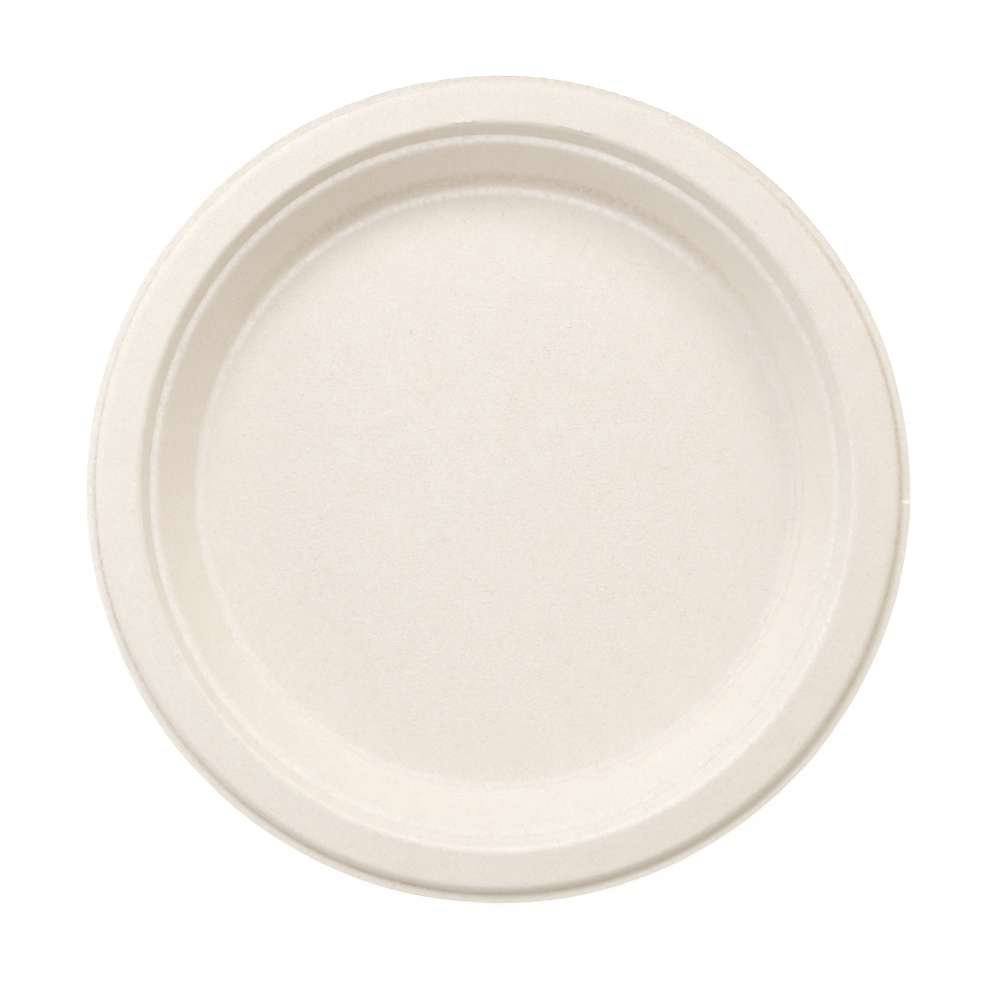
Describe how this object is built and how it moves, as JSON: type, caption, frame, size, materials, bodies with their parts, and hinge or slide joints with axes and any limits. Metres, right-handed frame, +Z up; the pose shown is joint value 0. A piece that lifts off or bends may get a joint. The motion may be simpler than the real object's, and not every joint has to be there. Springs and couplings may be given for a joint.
{
  "type": "round moulded fibre plate",
  "caption": "Round disposable plate pressed from moulded plant fibre, with a flat base, a sloping wall with a stacking ledge, a rounded rim and a narrow flat flange.",
  "frame": {"origin": "centre of the plate's footprint, on the plane of the underside of its flat base, which is the plane that it stands on", "axes": "+Z up along the plate's axis, out of the side that holds food; +X points to the small pleat in the flange, within about two degrees"},
  "size_m": [0.229, 0.229, 0.0195],
  "materials": {
    "moulded_fibre": "matt"
  },
  "bodies": {
    "root": {"plate": "moulded_fibre"}
  },
  "joints": []
}
